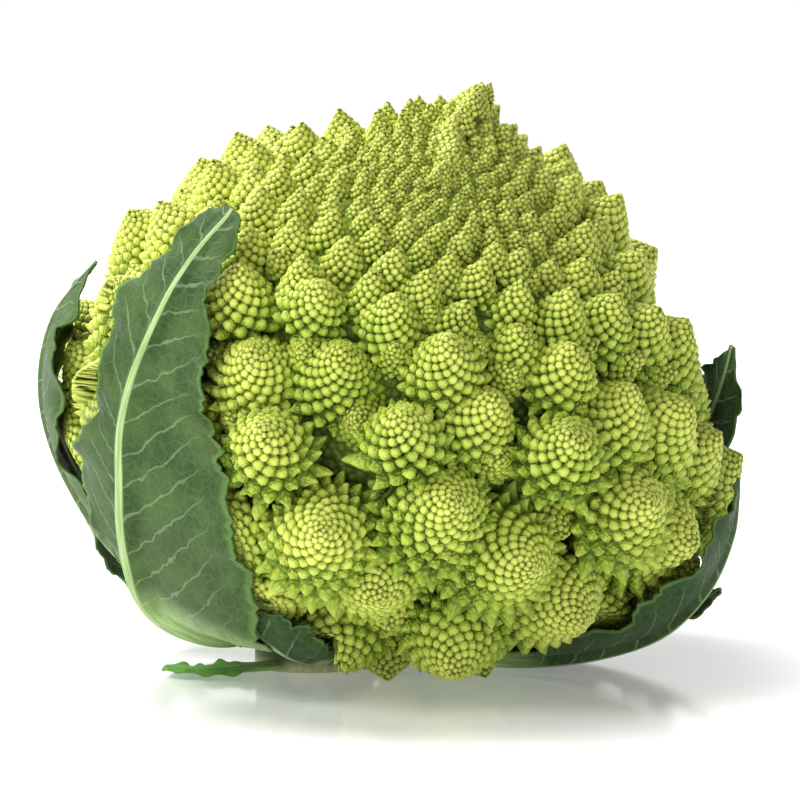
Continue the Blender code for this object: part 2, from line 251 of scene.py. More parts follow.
def deselect_all():
    if bpy.context.mode != "OBJECT":
        in_mode("OBJECT")
    bpy.ops.object.select_all(action="DESELECT")


def named(name):
    """The object that was just added, under its own name."""
    obj = bpy.context.object
    obj.name = obj.data.name = name
    return obj


def in_scene(name, data):
    """A new object with some data, in the scene."""
    obj = bpy.data.objects.new(name, data)
    bpy.context.scene.collection.objects.link(obj)
    return obj


def faces_outward():
    """Turns all faces of the mesh that is being edited outwards, and ends the editing."""
    bpy.ops.mesh.select_all(action="SELECT")
    bpy.ops.mesh.normals_make_consistent(inside=False)
    in_mode("OBJECT")


def select_only(obj):
    deselect_all()
    obj.select_set(True)
    bpy.context.view_layer.objects.active = obj


def in_mode(mode):
    bpy.ops.object.mode_set(mode=mode)


def in_metres(points):
    """Points of the design in metres, moved as the solids were."""
    return (np.asarray(points) * MILLIMETRE + ORIGIN_SHIFT).astype(np.float32)


def mesh_piece(name, points, faces, attributes=None, uv=None):
    """A new object from arrays of points in millimetres and of triangles."""
    mesh = bpy.data.meshes.new(name)
    faces = np.asarray(faces, np.int32)
    mesh.vertices.add(len(points))
    mesh.vertices.foreach_set("co", in_metres(points).ravel())
    mesh.loops.add(faces.size)
    mesh.loops.foreach_set("vertex_index", faces.ravel())
    mesh.polygons.add(len(faces))
    mesh.polygons.foreach_set("loop_start", np.arange(0, faces.size, 3, dtype=np.int32))
    mesh.polygons.foreach_set("use_smooth", np.ones(len(faces), bool))
    mesh.update(calc_edges=True)
    mesh.validate()
    set_attributes(mesh, attributes or {})
    if uv is not None:
        layer = mesh.uv_layers.new(name="grain")
        layer.data.foreach_set("uv", np.asarray(uv, np.float32).ravel())
    return in_scene(name, mesh)


def set_attributes(mesh, attributes):
    for key, values in attributes.items():
        attribute = mesh.attributes.new(key, "FLOAT", "POINT")
        attribute.data.foreach_set("value", np.asarray(values, np.float32))


def coordinates(obj):
    points = np.empty(len(obj.data.vertices) * 3, np.float32)
    obj.data.vertices.foreach_get("co", points)
    return points.reshape(-1, 3).astype(float)


def move_points(obj, points):
    obj.data.vertices.foreach_set("co", in_metres(points).ravel())
    obj.data.update()


# The head's frame and the places of its florets


def leaning_axes(lean_right, lean_forward):
    """Columns x, y and z of a frame whose z leans from straight up."""
    right, forward = np.radians((lean_right, lean_forward))
    lean = np.array(
        ((np.cos(right), 0, np.sin(right)), (0, 1, 0), (-np.sin(right), 0, np.cos(right)))
    )
    nod = np.array(
        ((1, 0, 0), (0, np.cos(forward), -np.sin(forward)), (0, np.sin(forward), np.cos(forward)))
    )
    return lean @ nod


HEAD_AXES = leaning_axes(LEAN_RIGHT, LEAN_FORWARD)
SPIRAL_AXES = leaning_axes(SPIRAL_RIGHT, SPIRAL_FORWARD)


def head_reach(own):
    """How far the tips of the florets are from the middle of the head, in directions of its own frame."""
    along = np.clip(own[..., 2], -1, 1)
    flat = HEAD_RADIUS * HEAD_FLATNESS
    reach = 1 / np.sqrt((1 - along**2) / HEAD_RADIUS**2 + (along / flat) ** 2)
    angle = np.degrees(np.arccos(along))
    reach = reach + POINT_RISE * np.exp(-angle / POINT_SPREAD)
    reach = reach - HOLLOW_DEPTH * np.exp(-(((angle - HOLLOW_ANGLE) / HOLLOW_WIDTH) ** 2))
    for swell_angle, swell_turn, height in SWELLS:
        middle = directions(np.radians(swell_angle), np.radians(swell_turn))
        apart = np.degrees(np.arccos(np.clip(own @ middle, -1, 1)))
        reach = reach + height * np.exp(-((apart / SWELL_WIDTH) ** 2))
    return reach


def on_head(angle, turn, depth=0.0):
    """The point at an angle from the spiral's axis and a turn about it, depth below the tips."""
    way = directions(angle, turn) @ SPIRAL_AXES.T
    reach = head_reach(way @ HEAD_AXES) * (1 - depth / HEAD_RADIUS)
    return HEAD_CENTRE + way * np.asarray(reach)[..., None]


def directions(angle, turn):
    """Unit vectors at an angle from z and a turn about it."""
    across = np.sin(angle)
    along = np.cos(angle) + 0 * turn
    return np.stack((across * np.cos(turn), across * np.sin(turn), along), axis=-1)


def spacing(angle):
    """The distance between neighbouring florets at an angle from the spiral's axis."""
    share = angle / np.radians(SIDE_ANGLE)
    fitted = SPACING_AT_SIDE * share**SPACING_GROWTH / (1 + share ** (4 * SPACING_GROWTH)) ** 0.25
    return np.hypot(fitted, LEAST_SPACING * np.exp(-((2 * share) ** 2)))


def summed(values, step):
    """The area under values up to each of them."""
    return np.concatenate(((0,), np.cumsum((values[1:] + values[:-1]) / 2 * step)))


def floret_places():
    """The angle, turn and spacing of every floret, from the foot of the head up."""
    angle = np.radians(np.linspace(POINT_ANGLE, FOOT_ANGLE, 800))
    stand = spacing(angle)
    per_angle = 2 * np.pi * HEAD_RADIUS**2 * np.sin(angle) / (np.sqrt(0.75) * stand**2)
    passed = summed(per_angle, np.diff(angle))
    from_foot = passed[-1] - passed
    number = np.arange(int(from_foot[0]))
    at = np.interp(number, from_foot[::-1], angle[::-1])
    turn = np.radians(FIRST_TURN + number * GOLDEN_ANGLE)
    return at, turn, np.interp(at, angle, stand)


def standing(axis, beside):
    """Axes, two across and one out, of what stands along an axis; beside is any way that isn't along it."""
    side = unit(np.cross(axis, beside))
    return np.stack((np.cross(side, axis), side, axis), axis=-2)


def floret_frames(angle, turn):
    """Tip points and axes (two across, one out) of the florets, which lean to the head's point."""
    little = 1e-3
    tip = on_head(angle, turn)
    down = unit(on_head(angle + little, turn) - on_head(angle - little, turn))
    round_it = unit(on_head(angle, turn + little) - on_head(angle, turn - little))
    out = unit(np.cross(down, round_it))
    lean = np.radians(FLORET_LEAN) * np.sin(angle)[:, None]
    axis = unit(out * np.cos(lean) - down * np.sin(lean))
    axis = unit(axis + np.sin(np.radians(FLORET_TILT)) * rng.uniform(-1, 1, axis.shape))
    return tip, standing(axis, down)


def hollow_florets(tips, axes, stand):
    """Tip, axes and spacing of a small floret for each hollow that three large ones stand round."""
    large = np.nonzero(stand > HOLLOW_SPACING)[0]
    middles, made = [], []
    for first in large:
        apart = np.linalg.norm(tips[large] - tips[first], axis=1)
        near = [other for other in large[(apart < HOLLOW_REACH * stand[first])] if other > first]
        for place, second in enumerate(near):
            for third in near[place + 1 :]:
                three = [first, second, third]
                if np.linalg.norm(tips[second] - tips[third]) > HOLLOW_REACH * stand[second]:
                    continue
                middle = (tips[first] + tips[second] + tips[third]) / 3
                room = np.linalg.norm(tips - middle, axis=1).min()
                clear = all(np.linalg.norm(middle - other) > HOLLOWS_APART for other in middles)
                if room > HOLLOW_ROOM * stand[first] and clear:
                    middles.append(middle)
                    axis = unit(axes[three, 2].sum(axis=0))
                    around = stand[three].mean()
                    tip = middle - axis * HOLLOW_SUNK * around
                    made.append((tip, standing(axis, axes[first, 0]), HOLLOW_FLORET * around))
    return made


def gap_florets(tips, axes, stand):
    """Tip, axes and spacing of a small floret for each place that no floret covers."""
    radii = np.array([FloretForm(each).radius for each in stand])
    number = np.arange(GAP_TRIALS)
    angle = np.arccos(1 - (1 - np.cos(np.radians(GAP_ANGLE))) * (number + 0.5) / GAP_TRIALS)
    turn = np.radians(GOLDEN_ANGLE) * number
    room_there = spacing(angle)
    made = []
    for place, room in zip(on_head(angle, turn, GAP_SUNK * room_there), room_there):
        near = np.linalg.norm(tips - place, axis=1) < GAP_REACH * room
        apart = tips[near] - place
        out = (apart * axes[near, 2]).sum(axis=1, keepdims=True)
        across = np.linalg.norm(apart - out * axes[near, 2], axis=1)
        clear = all(np.linalg.norm(place - other) > GAPS_APART * room for other, _, _ in made)
        if clear and room > GAP_SPACING and np.all(across > GAP_CLEAR * radii[near]):
            made.append((place, standing(unit(place - HEAD_CENTRE), GAP_BESIDE), GAP_FLORET * room))
    return made


def crest_florets():
    """Tips, axes and spacings of the florets that merge into a ridge up to the head's point."""
    share = np.linspace(0, 1, CREST_FLORETS)
    first, last = SPIRAL_AXES[:, 2], HEAD_AXES[:, 2]
    way = unit(first + between(CREST_ENDS, share)[:, None] * (last - first))
    along = unit(last - first)
    side = unit(np.cross(along, way))
    winding = CREST_WINDS * np.sin(2 * CREST_BENDS * np.pi * share)
    reach = head_reach(way @ HEAD_AXES) + CREST_RAISED
    tips = HEAD_CENTRE + way * reach[:, None] + side * winding[:, None]
    own = standing(unit(way + CREST_LEAN * along), along)
    return zip(tips, own, between(CREST_STANDS, np.sin(np.pi * share) ** 0.5))


def with_more(florets, more):
    """The tips, axes and spacings of some florets, with those of more florets after them."""
    return tuple(np.concatenate((old, np.array(new))) for old, new in zip(florets, zip(*more)))


# Buds: one of each size is modelled, and copied over the florets


def model_bud(name, columns, rings, beads):
    """A bud as (points, triangles), from a circle that is extruded and drawn in ring by ring to its tip.

    Every other point of a ring stands out by beads, which gives the bud its own small knobs.
    """
    deselect_all()
    bpy.ops.mesh.primitive_circle_add(vertices=columns, radius=rings[0][0], fill_type="NOTHING")
    bud = named(name)
    in_mode("EDIT")
    bpy.ops.mesh.select_all(action="SELECT")
    rise = rings[0][1]
    bpy.ops.transform.translate(value=(0, 0, rise))
    for before, ring in zip(rings, rings[1:]):
        move = {"value": (0, 0, ring[1] - rise)}
        bpy.ops.mesh.extrude_region_move(TRANSFORM_OT_translate=move)
        shrink = ring[0] / before[0]
        bpy.ops.transform.resize(value=(shrink, shrink, 1), center_override=(0, 0, ring[1]))
        bpy.ops.transform.rotate(
            value=np.pi / columns, orient_axis="Z", center_override=(0, 0, ring[1])
        )
        rise = ring[1]
    bpy.ops.mesh.extrude_region_move(TRANSFORM_OT_translate={"value": (0, 0, 1 - rise)})
    bpy.ops.mesh.merge(type="CENTER")
    bpy.ops.mesh.select_all(action="SELECT")
    bpy.ops.mesh.quads_convert_to_tris()
    faces_outward()
    points = np.array([vertex.co for vertex in bud.data.vertices])
    faces = np.array([polygon.vertices for polygon in bud.data.polygons])
    bpy.data.objects.remove(bud, do_unlink=True)
    a, b, c = points[faces[:, 0]], points[faces[:, 1]], points[faces[:, 2]]
    if (np.cross(b - a, c - a) * (a + b + c)).sum() < 0:
        faces = faces[:, ::-1]
    knob = np.where(np.arange(len(points)) % 2 == 0, 1.0, -1.0)
    points[:, :2] *= (1 + beads * knob)[:, None]
    points[:-1, 2] += BEAD_RISE * beads * knob[:-1]
    return points, faces


def model_buds():
    """Least size in millimetres, points and triangles of each bud, largest first."""
    spike = ((1.0, -0.3), (0.98, 0.08), (0.76, 0.36), (0.46, 0.64), (0.2, 0.86))
    knob = ((1.0, -0.3), (0.98, 0.28), (0.6, 0.76))
    round_knob = ((1.0, -0.25), (0.95, 0.35), (0.56, 0.82))
    grain = ((1.0, -0.1), (0.76, 0.6))
    return (
        (3.5, *model_bud("spike", 8, spike, 0.13)),
        (2.6, *model_bud("knob", 6, knob, 0.08)),
        (1.65, *model_bud("round_knob", 6, round_knob, 0.0)),
        (0.0, *model_bud("grain", 5, grain, 0.0)),
    )


class FloretForm:
    """The surface under one floret's buds: a ball drawn up to a point, in the floret's own frame."""

    def __init__(self, stand, plumpness=1.0):
        self.size = float(np.clip((stand - SMALL_FLORET) / (LARGE_FLORET - SMALL_FLORET), 0, 1))
        self.radius = between(FLORET_RADIUS, self.size) * stand * plumpness
        self.crown = between(FLORET_CROWN, self.size)
        self.point = between(FLORET_POINT, self.size**POINT_FADES)
        self.first = min(LEAST_BUD, FIRST_BUD * stand)
        self.last = min(between(LAST_BUD, self.size) * stand, LARGEST_BUD)

    def section(self, angle):
        """Distance from the axis, depth below the tip, and their slopes, at angles round the section."""
        level = np.minimum(angle, np.pi / 2)
        across = self.radius * np.sin(angle)
        drop = self.radius * (self.crown * (1 - np.cos(level)) + self.point * np.sin(level))
        drop = drop - self.radius * np.minimum(np.cos(angle), 0)
        slope_across = self.radius * np.cos(angle)
        slope_drop = self.radius * (self.crown * np.sin(level) + self.point * np.cos(level))
        slope_drop = np.where(angle > np.pi / 2, self.radius * np.sin(angle), slope_drop)
        return across, drop, slope_across, slope_drop

    def drop_at(self, across):
        """Depth of the surface below the tip at a distance from the axis, inside the radius."""
        share = np.minimum(across / self.radius, 1)
        return self.radius * (self.crown * (1 - np.sqrt(1 - share**2)) + self.point * share)

    def buds(self, roll, hand):
        """Angle round the section, turn, size and share of the way down of each bud, on a spiral."""
        angle = np.linspace(0, np.radians(LAST_ANGLE), 80)
        across, _, slope_across, slope_drop = self.section(angle)
        slope = np.hypot(slope_across, slope_drop)
        down = summed(slope, angle[1])
        share = down / down[-1]
        size = self.first + (self.last - self.first) * share
        density = 2 * np.pi * across * slope / (np.sqrt(0.75) * size**2)
        passed = summed(density, angle[1])
        number = np.arange(int(passed[-1]))
        at = np.interp(number + FIRST_PLACE, passed, angle)
        turn = roll + hand * np.radians(GOLDEN_ANGLE) * number
        return at, turn, np.interp(at, angle, size), np.interp(at, angle, share)

    def flesh(self):
        """The floret's flesh under its buds, as points and triangles in its own frame."""
        columns, rings = FLESH_COLUMNS, len(FLESH_ANGLES)
        turn = 2 * np.pi * np.arange(columns) / columns
        points = [(0, 0, FLESH_TIP)]
        for angle in np.radians(FLESH_ANGLES):
            across, drop, _, _ = self.section(angle)
            points += [(across * np.cos(t), across * np.sin(t), -drop) for t in turn]
        points.append((0, 0, points[-1][2]))
        last = len(points) - 1
        faces = [(0, 1 + c, 1 + (c + 1) % columns) for c in range(columns)]
        for ring in range(rings - 1):
            for c in range(columns):
                a, b = 1 + ring * columns + c, 1 + ring * columns + (c + 1) % columns
                faces += [(a, a + columns, b + columns), (a, b + columns, b)]
        foot = 1 + (rings - 1) * columns
        faces += [(foot + c, last, foot + (c + 1) % columns) for c in range(columns)]
        return np.array(points), np.array(faces)


class Gathered:
    """Points, triangles and values of a piece as they are added up."""

    def __init__(self):
        self.points, self.faces, self.values, self.grain = [], [], [], []
        self.count = 0
        self.triangles = 0

    def add(self, points, faces, values, grain):
        self.points.append(points)
        self.faces.append(faces + self.count)
        self.values.append(values)
        self.grain.append(grain)
        self.count += len(points)
        self.triangles += len(faces)

    def joined(self):
        return tuple(np.vstack(part) for part in (self.points, self.faces, self.values, self.grain))


def within_neighbour(points, near_tip, near, tips, axes, forms):
    """True for the points well inside another floret, or below one where they aren't near their own tip."""
    inside = np.zeros(len(points), bool)
    for other in near:
        form = forms[other]
        apart = (points - tips[other]) @ axes[other].T
        across = np.hypot(apart[:, 0], apart[:, 1])
        deep = -apart[:, 2] > form.drop_at(across) + NEIGHBOUR_SKIN * form.radius
        body = form.radius * (form.crown + form.point + NEIGHBOUR_FOOT)
        deep &= (-apart[:, 2] < body) | ~near_tip
        inside |= (across < NEIGHBOUR_WIDTH * form.radius) & deep
    return inside


def bud_grain(points, faces):
    """Turn round the bud and height up it for each corner, without a jump where the turn starts again."""
    turns = (np.arctan2(points[:, 1], points[:, 0]) / (2 * np.pi))[faces]
    high = turns.max(axis=1, keepdims=True)
    turns = np.where(high - turns > 0.5, turns + 1, turns)
    pole = np.hypot(points[faces][..., 0], points[faces][..., 1]) < 1e-4
    mean = (turns * ~pole).sum(axis=1, keepdims=True) / 2
    return np.stack((np.where(pole, mean, turns), points[faces][..., 2]), axis=-1)


def cover_with_buds(piece, form, tip, axes, roll, hand, shade, buds, inside):
    """Adds one floret: its buds, each leaning up its side, and the flesh under them."""
    at, around, size, share = form.buds(roll, hand)
    across, drop, slope_across, slope_drop = form.section(at)
    radial = np.stack((np.cos(around), np.sin(around), 0 * around), axis=1)
    upright = np.array((0, 0, 1.0))
    local = radial * across[:, None] - upright * drop[:, None]
    normal = unit(radial * slope_drop[:, None] + upright * slope_across[:, None])
    climb = unit(upright * slope_drop[:, None] - radial * slope_across[:, None])
    lean = np.radians(between(BUD_LEAN, share))[:, None]
    axis = unit(normal * np.cos(lean) + climb * np.sin(lean))
    axis = unit(axis + BUD_TILT * rng.uniform(-1, 1, axis.shape)) @ axes
    bend = climb @ axes
    places = tip + local @ axes
    kept = ~inside(places, share < NEAR_TIP)
    side = unit(np.cross(axis, radial @ axes))
    other = np.cross(axis, side)
    size = size * rng.uniform(*BUD_SIZES, len(size))
    width = size * between(BUD_WIDTH, share)
    length = size * (BUD_LENGTH + between(BUD_GROWS, form.size) * share**BUD_GROWTH)
    tint = rng.random(len(size))
    limit = np.inf
    for least, points, faces in buds:
        chosen = np.nonzero(kept & (size >= least) & (size < limit))[0]
        limit = least
        if not len(chosen):
            continue
        count = len(points)
        long = length[chosen, None, None]
        body = side[chosen, None] * points[:, :1] + other[chosen, None] * points[:, 1:2]
        body = body * width[chosen, None, None] + axis[chosen, None] * (points[:, 2:] * long)
        curl = BUD_CURL * np.maximum(points[:, 2:], 0) ** 2 * long
        body = body + bend[chosen, None] * curl + places[chosen, None]
        order = count * np.arange(len(chosen))[:, None, None]
        all_faces = (faces[None] + order).reshape(-1, 3)
        given = (points[:, 2], 1 - share[chosen, None], tint[chosen, None], shade)
        values = np.stack([np.broadcast_to(each, (len(chosen), count)) for each in given], axis=-1)
        grain = bud_grain(points, faces)
        grain = np.broadcast_to(grain, (len(chosen), *grain.shape)).reshape(-1, 2)
        piece.add(body.reshape(-1, 3), all_faces, values.reshape(-1, 4), grain)
    points, faces = form.flesh()
    points = tip + points @ axes
    # Painted shade: the flesh takes the dark end of the curd's colours
    values = np.tile((FLESH_TIP, 0.0, 0.5, shade), (len(points), 1))
    piece.add(points, faces, values, np.zeros((faces.size, 2)))


def make_florets(buds, pressed):
    """The pieces that hold every floret of the head: the spiral's, the small ones and the crest's."""
    angle, turn, stand = floret_places()
    tips, axes = floret_frames(angle, turn)
    florets = (tips - axes[:, 2] * TIP_DEPTH, axes, stand)
    florets = with_more(florets, hollow_florets(*florets))
    florets = with_more(florets, gap_florets(*florets))
    tips, axes, stand = with_more(florets, crest_florets())
    plump = rng.uniform(*FLORET_SIZES, len(stand))
    forms = [FloretForm(each, growth) for each, growth in zip(stand, plump)]
    tips = tips - axes[:, 2] * (stand * rng.uniform(*FLORET_DEPTHS, len(stand)))[:, None]
    shift = FLORET_SHIFT * stand[:, None] * rng.uniform(-1, 1, (len(stand), 2))
    tips = tips + axes[:, 0] * shift[:, :1] + axes[:, 1] * shift[:, 1:]
    tips = inside_box(tips, TIP_MARGIN)
    radii = np.array([form.radius for form in forms])
    shades = rng.random(len(tips))
    hands = np.where(rng.random(len(tips)) < 0.5, -1, 1)
    pieces = [Gathered()]
    for number in range(len(tips)):
        distance = np.linalg.norm(tips - tips[number], axis=1)
        near = np.nonzero(distance < NEIGHBOUR_REACH * (radii[number] + radii))[0]
        near = near[near != number]

        def inside(points, near_tip, near=near):
            return within_neighbour(points, near_tip, near, tips, axes, forms)

        if pieces[-1].triangles > PIECE_TRIANGLES:
            pieces.append(Gathered())
        cover_with_buds(
            pieces[-1],
            forms[number],
            tips[number],
            axes[number],
            ROLL * number,
            hands[number],
            shades[number],
            buds,
            inside,
        )
    made = []
    for count, piece in enumerate(pieces):
        points, faces, values, grain = piece.joined()
        keys = dict(zip(("tip", "rise", "tint", "shade"), values.T))
        name = f"curd_florets_{count + 1}"
        made.append(mesh_piece(name, pressed(points), faces, keys, grain))
    return made


def make_flesh(pressed):
    """The head under its florets, from a sphere drawn to the head's own shape."""
    deselect_all()
    bpy.ops.mesh.primitive_uv_sphere_add(segments=64, ring_count=40, radius=1)
    ball = named("curd_flesh")
    points = coordinates(ball)
    angle = np.arccos(np.clip(points[:, 2], -1, 1))
    turn = np.arctan2(points[:, 1], points[:, 0])
    depth = FLESH_SPACINGS_DEEP * spacing(np.maximum(angle, 0.02)) + FLESH_DEEPER
    move_points(ball, pressed(on_head(angle, turn, depth)))
    select_only(ball)
    bpy.ops.object.shade_smooth()
    # Painted shade: the head's flesh takes the dark end of the curd's colours
    plain = {"tip": FLESH_TIP, "rise": 0.0, "tint": 0.5, "shade": 0.5}
    set_attributes(ball.data, {key: np.full(len(points), plain[key]) for key in plain})
    return ball


# Room for the curd: inside the leaves, above the floor and inside the solids' box


def box_corners():
    """The low and the high corner of the solids' box, in millimetres of the design."""
    return [(np.array(corner) - ORIGIN_SHIFT) / MILLIMETRE for corner in solid_box]


def room_for_curd(step=ROOM_STEP, margin=ROOM_MARGIN):
    """How far out from the head's centre the curd may reach in every direction, in millimetres.

    One table is for the leaves, widened by a margin of steps, and one for the solids' box.
    """
    trees = []
    for name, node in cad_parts.items():
        if name.startswith("leaf"):
            mesh = node.data
            corners = [vertex.co.copy() for vertex in mesh.vertices]
            faces = [tuple(polygon.vertices) for polygon in mesh.polygons]
            trees.append(BVHTree.FromPolygons(corners, faces))
    start = Vector(HEAD_CENTRE * MILLIMETRE + ORIGIN_SHIFT)
    angles = np.radians(np.arange(0, 180 + step, step))
    turns = np.radians(np.arange(0, 360, step))
    ways = directions(angles[:, None], turns[None]) @ HEAD_AXES.T
    reach = np.full(ways.shape[:2], FAR)
    for row in range(len(angles)):
        for column in range(len(turns)):
            for tree in trees:
                hit = tree.ray_cast(start, Vector(ways[row, column]))
                if hit[0] is not None:
                    reach[row, column] = min(reach[row, column], hit[3] / MILLIMETRE - LEAF_GAP)
    wide = reach.copy()
    for down in range(-margin, margin + 1):
        for over in range(-margin, margin + 1):
            if down**2 + over**2 <= margin**2 + 1:
                moved = np.roll(np.roll(reach, over, axis=1), down, axis=0)
                wide = np.minimum(wide, moved)
    low, high = box_corners()
    with np.errstate(divide="ignore"):
        to_low = np.where(ways < 0, (low - HEAD_CENTRE) / ways, FAR)
        to_high = np.where(ways > 0, (high - HEAD_CENTRE) / ways, FAR)
    box = np.minimum(to_low, to_high).min(axis=2)
    return wide, box, step


def inside_box(points, margin=BOX_MARGIN):
    """The points, moved in to a margin inside the solids' box."""
    low, high = box_corners()
    return np.clip(points, low + margin, high - margin)


def presser(field):
    """A function that presses points in softly, so that none passes the leaves, the floor or the box."""
    wide, box, step = field

    def at(table, rows, columns):
        low_row = np.clip(rows.astype(int), 0, table.shape[0] - 2)
        low_column = columns.astype(int) % table.shape[1]
        next_column = (low_column + 1) % table.shape[1]
        down, over = rows - low_row, columns - np.floor(columns)
        ends = (table[low_row, low_column], table[low_row, next_column])
        below = (table[low_row + 1, low_column], table[low_row + 1, next_column])
        first, second = (pair[0] * (1 - over) + pair[1] * over for pair in (ends, below))
        return first * (1 - down) + second * down

    def pressed(points):
        own = (points - HEAD_CENTRE) @ HEAD_AXES
        reach = np.linalg.norm(own, axis=1)
        angle = np.degrees(np.arccos(np.clip(own[:, 2] / np.maximum(reach, 1e-6), -1, 1)))
        turn = np.degrees(np.arctan2(own[:, 1], own[:, 0])) % 360
        limit = at(wide, angle / step, turn / step)
        over = reach - (limit - SOFT_PRESS)
        soft = limit - SOFT_PRESS * np.exp(-np.maximum(over, 0) / SOFT_PRESS)
        reach_now = np.where(over > 0, soft, reach)
        reach_now = np.minimum(reach_now, at(box, angle / step, turn / step) - BOX_MARGIN)
        ways = (points - HEAD_CENTRE) / np.maximum(reach, 1e-6)[:, None]
        return inside_box(HEAD_CENTRE + ways * reach_now[:, None])

    return pressed


# The stalk


def stalk_outline(turn, share):
    """Middle of the stalk and its radius at a turn round it and a share of its height."""
    middle = STALK_FOOT + np.stack(
        (STALK_LEAN[0] * share, STALK_LEAN[1] * share, STALK_HEIGHT * share), axis=-1
    )
    ribs = 0.7 * np.cos(5 * turn + 4 * share) * np.sin(np.pi * share)
    return middle, STALK_RADIUS + 1.5 * share + ribs


def origin_shift():
    """How far the solids were moved so that the middle of their box is over the origin, in metres."""
    turn = 2 * np.pi * np.arange(20) / 20
    designed = []
    for share in np.arange(6) / 5:
        middle, radius = stalk_outline(turn, np.full(20, share))
        designed.append(middle + radius[:, None] * directions(np.full(20, np.pi / 2), turn))
    lowest = np.vstack(designed).min(axis=0)
    lowest[2] = 0
    return np.array(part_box("stalk")[0]) - lowest * MILLIMETRE


ORIGIN_SHIFT = origin_shift()


def make_stalk():
    """The cut stalk: a cylinder drawn to the outline at its ends, with a slightly hollow cut face."""
    deselect_all()
    bpy.ops.mesh.primitive_cylinder_add(vertices=72, radius=1, depth=1, end_fill_type="NGON")
    stalk = named("stalk_cut")
    in_mode("EDIT")
    bpy.ops.mesh.select_mode(type="FACE")
    bpy.ops.mesh.select_all(action="DESELECT")
    in_mode("OBJECT")
    for polygon in stalk.data.polygons:
        polygon.select = abs(polygon.normal.z) > 0.5
    in_mode("EDIT")
    for inset in CUT_RINGS:
        bpy.ops.mesh.inset(thickness=inset)
    bpy.ops.mesh.poke()
    in_mode("OBJECT")
    points = coordinates(stalk)
    share = points[:, 2] + 0.5
    across = np.hypot(points[:, 0], points[:, 1])
    turn = np.arctan2(points[:, 1], points[:, 0])
    middle, radius = stalk_outline(turn, share)
    foot = share < 0.5
    radius = radius - FOOT_ROUNDING * (foot & (across > 0.97))
    placed = middle + (radius * across)[:, None] * directions(np.full(len(turn), np.pi / 2), turn)
    placed[foot, 2] += CUT_HOLLOW * (1 - across[foot] ** 2)
    move_points(stalk, placed)
    set_attributes(stalk.data, {"cut": foot.astype(float), "core": across})
    select_only(stalk)
    bpy.ops.object.shade_smooth_by_angle(angle=np.radians(50))
    return stalk


# Leaves. Each row, from the foot to the tip: the middle of the midrib (x, y, z), the half-widths of the blade
# to its left and right seen from outside, and the thickness of the midrib there, as in the solids.

FRONT_LEFT_LEAF = (
    (-37, -7, 14, 5.5, 5.5, 8),
    (-46, -17, 13, 7, 8, 8),
    (-55, -25, 15.5, 10, 22, 7.5),
    (-62, -31, 20, 13, 35, 7),
    (-66, -40, 27, 14, 38, 6.5),
    (-68, -48, 36, 16, 38, 6),
    (-69, -54, 46, 24, 36, 5.5),
    (-69, -58, 56, 25, 34, 5),
    (-69, -61, 66, 18, 30, 4.5),
    (-68, -62, 74, 15, 31, 4.2),
    (-66, -63, 82, 15, 23, 3.8),
    (-63, -65, 90, 20, 21, 3.4),
    (-60, -66, 97, 18, 17, 3),
    (-56, -67, 105, 13, 12, 2.6),
    (-50, -68, 114, 9, 9, 2.2),
    (-44, -69, 121, 6.5, 5.5, 1.8),
    (-42, -69, 124, 3, 2.5, 1.4),
)
LEFT_LEAF = (
    (-41, 5, 15, 5, 5, 7),
    (-58, 8, 19, 6, 8, 7),
    (-76, 7, 32, 8, 15, 6),
    (-88, 4, 50, 12, 20, 5),
    (-94, 1, 66, 18, 24, 4.2),
    (-95, -2, 80, 20, 24, 3.4),
    (-92, -4, 93, 15, 18, 2.6),
    (-86, -6, 102, 7, 11, 2),
    (-81, -8, 108, 1.5, 1.5, 1.4),
)
LEFT_LOW_LEAF = (
    (-39, 14, 6, 4.5, 4.5, 6),
    (-56, 22, 7, 14, 8, 5),
    (-70, 27, 14, 18, 9, 4),
    (-79, 27, 26, 18, 9, 3),
    (-85, 24, 36, 11, 7, 2.2),
    (-87, 21, 43, 1.5, 1.5, 1.4),
)
SMALL_CURLED_LEAF = (
    (-22, -17, 6, 4, 4, 5),
    (-25, -34, 8, 9, 8, 3.4),
    (-30, -50, 12, 12, 10, 2.6),
    (-36, -59, 18, 9, 9, 2),
    (-41, -62, 25, 1.5, 1.5, 1.4),
)
STUB_LEAF = (
    (-34, -12, 2.6, 4, 4, 3),
    (-45, -16, 2.0, 9, 7, 2.4),
    (-55, -17, 1.8, 8, 7, 2),
    (-63, -16, 2.4, 5, 4, 1.6),
)
RIGHT_LEAF = (
    (-6, -4, 7, 5, 5, 7),
    (14, -8, 6, 8, 9, 6.5),
    (34, -13, 5.5, 14, 14, 6),
    (52, -18, 8, 19, 18, 5),
    (67, -22, 14, 20, 19, 4.4),
    (78, -23, 25, 17, 16, 3.6),
    (84, -21, 37, 12, 11, 2.8),
    (86, -18, 46, 6, 6, 2.2),
    (87, -16, 52, 1.5, 1.5, 1.4),
)
RIGHT_LOW_LEAF = (
    (-8, 10, 4, 4, 4, 5),
    (20, 14, 3, 8, 8, 4),
    (48, 16, 4, 13, 12, 3.2),
    (68, 14, 9, 12, 11, 2.6),
    (80, 11, 15, 6, 6, 2),
    (85, 9, 19, 1.5, 1.5, 1.4),
)
BACK_RIGHT_LEAF = (
    (-12, 18, 7, 5, 5, 7),
    (14, 38, 7, 9, 12, 6.5),
    (42, 50, 15, 16, 22, 6),
    (64, 52, 28, 24, 28, 5),
    (77, 48, 44, 30, 27, 4),
    (84, 42, 60, 21, 19, 3),
    (88, 36, 73, 10, 9, 2.2),
    (90, 33, 83, 1.5, 1.5, 1.4),
)

